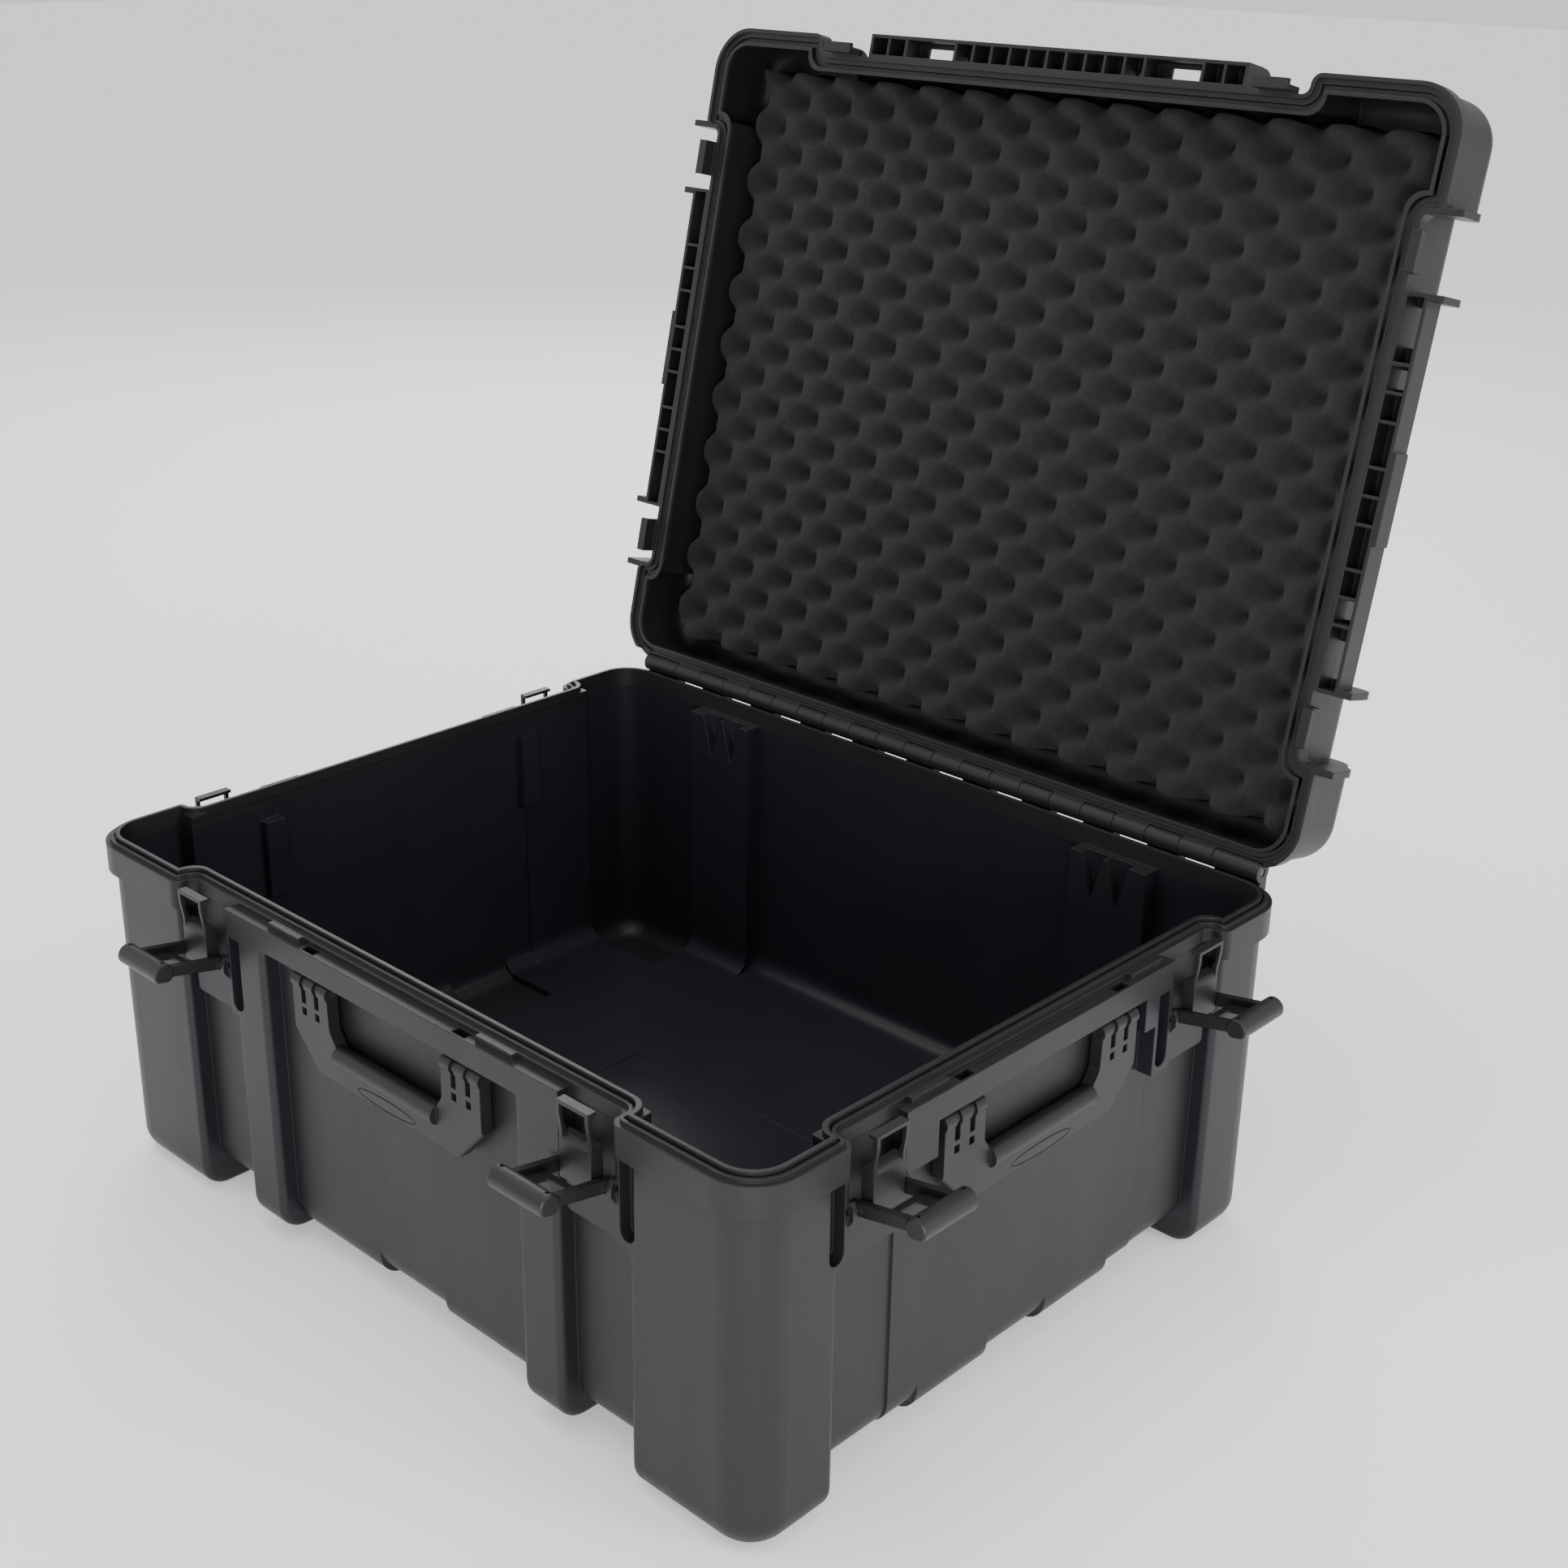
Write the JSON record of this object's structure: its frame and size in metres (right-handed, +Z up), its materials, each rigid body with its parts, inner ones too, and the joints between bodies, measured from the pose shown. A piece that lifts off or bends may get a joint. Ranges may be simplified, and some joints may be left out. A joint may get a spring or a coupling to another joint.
{
  "type": "hard equipment case",
  "caption": "Deep moulded equipment case with a hinged lid, foam liner, draw latches and fold-down handles.",
  "frame": {"origin": "middle of the plane that the four corner feet stand on", "axes": "+Z up, +Y towards the hinge, +X along the width"},
  "size_m": [0.7894, 0.7699, 0.8059],
  "materials": {
    "shell": "fine moulded texture, satin on the corners",
    "fittings": "fine moulded texture",
    "gasket": "soft black rubber",
    "foam": "open-cell charcoal foam",
    "steel": "dark plated pins"
  },
  "bodies": {
    "base": {"base_shell": "shell", "hinge_pin": "steel", "handle_front_pins": "steel", "latch_front_a_pivot_pins": "steel", "latch_front_b_pivot_pins": "steel", "handle_right_pins": "steel", "latch_right_a_pivot_pins": "steel", "latch_right_b_pivot_pins": "steel", "handle_left_pins": "steel", "latch_left_a_pivot_pins": "steel", "latch_left_b_pivot_pins": "steel"},
    "lid": {"lid_shell": "shell", "lid_gasket": "gasket", "lid_foam": "foam"},
    "handle_front": {"handle_front": "fittings"},
    "latch_front_a_lever": {"latch_front_a_lever": "fittings", "latch_front_a_link_pin": "steel"},
    "latch_front_a_hook": {"latch_front_a_hook": "fittings"},
    "latch_front_b_lever": {"latch_front_b_lever": "fittings", "latch_front_b_link_pin": "steel"},
    "latch_front_b_hook": {"latch_front_b_hook": "fittings"},
    "handle_right": {"handle_right": "fittings"},
    "latch_right_a_lever": {"latch_right_a_lever": "fittings", "latch_right_a_link_pin": "steel"},
    "latch_right_a_hook": {"latch_right_a_hook": "fittings"},
    "latch_right_b_lever": {"latch_right_b_lever": "fittings", "latch_right_b_link_pin": "steel"},
    "latch_right_b_hook": {"latch_right_b_hook": "fittings"},
    "handle_left": {"handle_left": "fittings"},
    "latch_left_a_lever": {"latch_left_a_lever": "fittings", "latch_left_a_link_pin": "steel"},
    "latch_left_a_hook": {"latch_left_a_hook": "fittings"},
    "latch_left_b_lever": {"latch_left_b_lever": "fittings", "latch_left_b_link_pin": "steel"},
    "latch_left_b_hook": {"latch_left_b_hook": "fittings"}
  },
  "joints": [
    {"name": "lid_hinge", "type": "hinge", "parent": "base", "child": "lid", "pos_m": [0, 0.274, 0.27], "axis": [1, 0, 0], "range_deg": [0, 103]},
    {"name": "handle_front_fold", "type": "hinge", "parent": "base", "child": "handle_front", "pos_m": [0, -0.259, 0.23], "axis": [-1, 0, 0], "range_deg": [0, 95]},
    {"name": "latch_front_a_lever_turn", "type": "hinge", "parent": "base", "child": "latch_front_a_lever", "pos_m": [-0.20051, -0.265, 0.213], "axis": [1, 0, 0], "range_deg": [0, 101]},
    {"name": "latch_front_a_hook_turn", "type": "hinge", "parent": "latch_front_a_lever", "child": "latch_front_a_hook", "pos_m": [-0.20051, -0.27096, 0.21227], "axis": [1, 0, 0], "range_deg": [-101, 0]},
    {"name": "latch_front_b_lever_turn", "type": "hinge", "parent": "base", "child": "latch_front_b_lever", "pos_m": [0.20051, -0.265, 0.213], "axis": [1, 0, 0], "range_deg": [0, 101]},
    {"name": "latch_front_b_hook_turn", "type": "hinge", "parent": "latch_front_b_lever", "child": "latch_front_b_hook", "pos_m": [0.20051, -0.27096, 0.21227], "axis": [1, 0, 0], "range_deg": [-101, 0]},
    {"name": "handle_right_fold", "type": "hinge", "parent": "base", "child": "handle_right", "pos_m": [0.332, 0, 0.23], "axis": [0, -1, 0], "range_deg": [0, 95]},
    {"name": "latch_right_a_lever_turn", "type": "hinge", "parent": "base", "child": "latch_right_a_lever", "pos_m": [0.338, -0.16257, 0.213], "axis": [0, 1, 0], "range_deg": [0, 101]},
    {"name": "latch_right_a_hook_turn", "type": "hinge", "parent": "latch_right_a_lever", "child": "latch_right_a_hook", "pos_m": [0.34396, -0.16257, 0.21227], "axis": [0, 1, 0], "range_deg": [-101, 0]},
    {"name": "latch_right_b_lever_turn", "type": "hinge", "parent": "base", "child": "latch_right_b_lever", "pos_m": [0.338, 0.16257, 0.213], "axis": [0, 1, 0], "range_deg": [0, 101]},
    {"name": "latch_right_b_hook_turn", "type": "hinge", "parent": "latch_right_b_lever", "child": "latch_right_b_hook", "pos_m": [0.34396, 0.16257, 0.21227], "axis": [0, 1, 0], "range_deg": [-101, 0]},
    {"name": "handle_left_fold", "type": "hinge", "parent": "base", "child": "handle_left", "pos_m": [-0.332, 0, 0.23], "axis": [0, 1, 0], "range_deg": [0, 95]},
    {"name": "latch_left_a_lever_turn", "type": "hinge", "parent": "base", "child": "latch_left_a_lever", "pos_m": [-0.338, 0.16257, 0.213], "axis": [0, -1, 0], "range_deg": [0, 101]},
    {"name": "latch_left_a_hook_turn", "type": "hinge", "parent": "latch_left_a_lever", "child": "latch_left_a_hook", "pos_m": [-0.34396, 0.16257, 0.21227], "axis": [0, -1, 0], "range_deg": [-101, 0]},
    {"name": "latch_left_b_lever_turn", "type": "hinge", "parent": "base", "child": "latch_left_b_lever", "pos_m": [-0.338, -0.16257, 0.213], "axis": [0, -1, 0], "range_deg": [0, 101]},
    {"name": "latch_left_b_hook_turn", "type": "hinge", "parent": "latch_left_b_lever", "child": "latch_left_b_hook", "pos_m": [-0.34396, -0.16257, 0.21227], "axis": [0, -1, 0], "range_deg": [-101, 0]}
  ],
  "couplings": [
    {"joint": "latch_front_a_hook_turn", "follows": "latch_front_a_lever_turn", "ratio": -1},
    {"joint": "latch_front_b_hook_turn", "follows": "latch_front_b_lever_turn", "ratio": -1},
    {"joint": "latch_right_a_hook_turn", "follows": "latch_right_a_lever_turn", "ratio": -1},
    {"joint": "latch_right_b_hook_turn", "follows": "latch_right_b_lever_turn", "ratio": -1},
    {"joint": "latch_left_a_hook_turn", "follows": "latch_left_a_lever_turn", "ratio": -1},
    {"joint": "latch_left_b_hook_turn", "follows": "latch_left_b_lever_turn", "ratio": -1}
  ]
}
